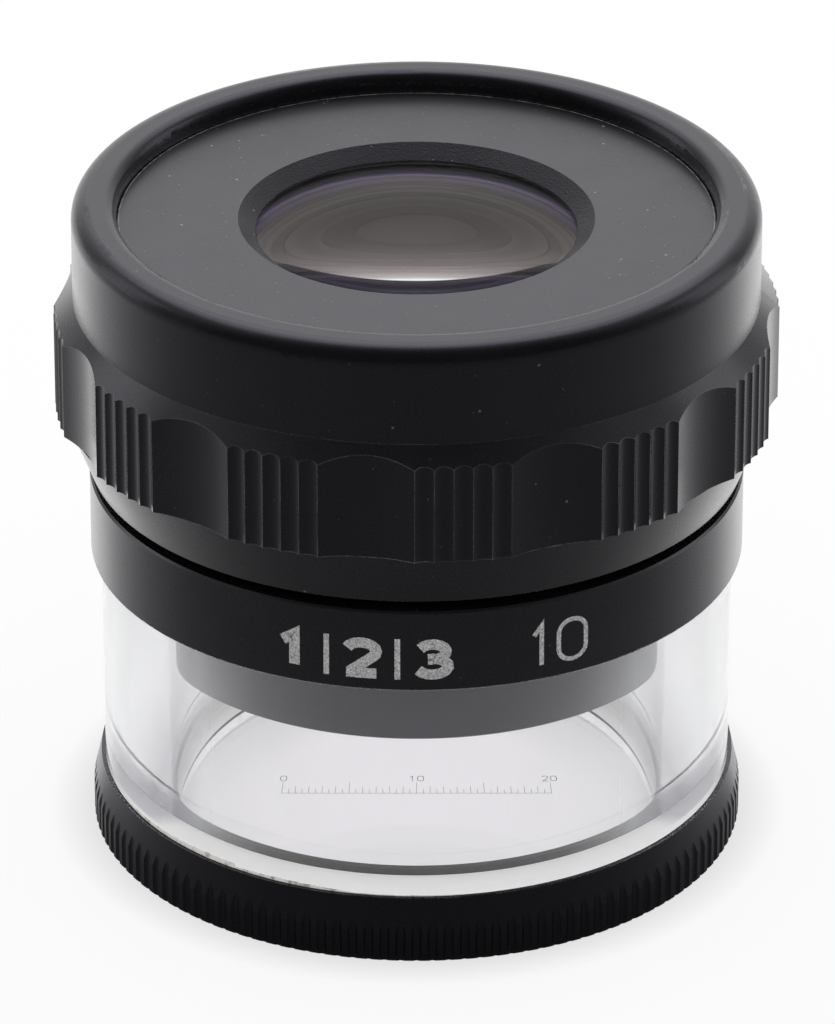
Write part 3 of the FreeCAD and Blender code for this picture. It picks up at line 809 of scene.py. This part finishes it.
def make_floor():
    """White paper that keeps the loupe's shadow, with a painted shadow under and near the loupe, and is
    dimmer in front to glossy surfaces.
    """
    mesh = bpy.data.meshes.new("studio_floor")
    corners = [(x * FLOOR_REACH, y * FLOOR_REACH, 0) for x, y in ((-1, -1), (1, -1), (1, 1), (-1, 1))]
    mesh.from_pydata(corners, [], [(0, 1, 2, 3)])
    floor = bpy.data.objects.new("studio_floor", mesh)
    bpy.context.scene.collection.objects.link(floor)
    finish = new_finish("studio_floor")
    reach = finish.radius()
    path = finish.node("LightPath")
    plain = path["Is Camera Ray"].largest(path["Is Transmission Ray"])
    backward = finish.ramp((finish.axes()["Y"] + FLOOR_SHIFT * MM) / reach * 0.5 + 0.5, FLOOR_STOPS)
    # Painted shadow near the loupe, as glossy surfaces see the floor.
    shadow_near_loupe = finish.ramp(reach / MM / 100, [(0.25, 0.4), (0.35, 1.0)])
    # Painted shadow under the loupe, as the camera and the glass see the floor.
    under = finish.ramp(reach / MM / 100, [(0.11, 1.0), (0.175, 0.82), (0.24, 0.82), (0.27, 1.0)])
    share = plain * under + (1 - plain) * backward * shadow_near_loupe.largest(backward)
    paper = finish.node("BsdfPrincipled", {}, {"Base Color": grey(0.85), "Roughness": 0.9})
    dark = finish.node("Emission", {}, {"Color": (0, 0, 0, 1), "Strength": 1.0})
    white = finish.node("Emission", {}, {"Color": (1, 1, 1, 1), "Strength": 1.0})
    glow = finish.node("MixShader", {}, {0: share, 1: dark, 2: white})
    seen = (plain * 0.85).largest(path["Is Glossy Ray"])
    mesh.materials.append(finish.show(finish.node("MixShader", {}, {0: seen, 1: paper, 2: glow})))


def make_lamp(name, place, size, power):
    light = bpy.data.lights.new(name, "AREA")
    light.shape = "RECTANGLE"
    light.size, light.size_y = size
    light.energy = power
    lamp = bpy.data.objects.new(name, light)
    lamp.location = Vector(place)
    lamp.rotation_euler = (Vector(LAMP_TARGET) - Vector(place)).to_track_quat("-Z", "Y").to_euler()
    bpy.context.scene.collection.objects.link(lamp)


def dress(material, *names):
    """Gives CAD nodes their finish."""
    for name in names:
        slots = nodes[name].data.materials
        slots.clear()
        slots.append(material)


def dress_nodes():
    dress(black_metal("satin_black", 0.003, 0.27, 0.85, 0.002, 0.25), "body_band")
    dress(black_metal("cap_black", 0.002, 0.27, 0.85, 0.002, 0.25, dull_above=CAP_TURN), "eyepiece_cap")
    dress(black_metal("grip_black", 0.002, 0.27, 0.85, 0.001, 0.25, edge_wear_and_highlight=0.06), "grip_ring")
    dress(black_metal("ring_black", 0.001, 0.27, 0.2, 0.002, 0.05, painted_light_inside=GLASS_RADIUS + 0.1),
          "base_ring")
    dress(black_metal("face_black", 0.007, 0.34, 0.24, 0.009, 0.9, rough_cone=OPENING_RADIUS - HAIR,
                      rim_dust_and_highlight=FACE_RADIUS, dust_level=0.2), "face_ring")
    dress(black_metal("matt_black", 0.008, 0.5, 0.0, 0.001, 0.1),
          "lens_barrel", "barrel_lock_ring", "aperture_stop", "lens_retainer")
    dress(machined_insert(), "skirt_insert")
    dress(ridged_black(), "lens_spacer")
    # Painted shade: the scale glass's tint darkens the paper seen through it, standing for the loupe's
    # shadow, with a faint violet cast.
    dress(coated_glass("scale_glass", CROWN_INDEX, PLATE_COATING, tint_and_shade=(0.905, 0.9, 0.91, 1)), "scale_plate")
    dress(rubber("black_rubber", 0.02), "damping_ring")
    dress(rubber("black_nylon", 0.03), "scale_gasket")
    dress(rubber("grey_nylon", 0.1), "eye_lens_washer")
    dress(blued_steel(), "travel_stop_ring")


make_camera()
make_world()
make_floor()
for name, (place, size, power) in LAMPS.items():
    make_lamp(name, place, size, power)
dress_nodes()
make_skirt()
make_eye_lens()
make_field_lenses()
make_band_print()
make_bond()
make_scale_marks()

bpy.context.scene.view_settings.view_transform = "Standard"
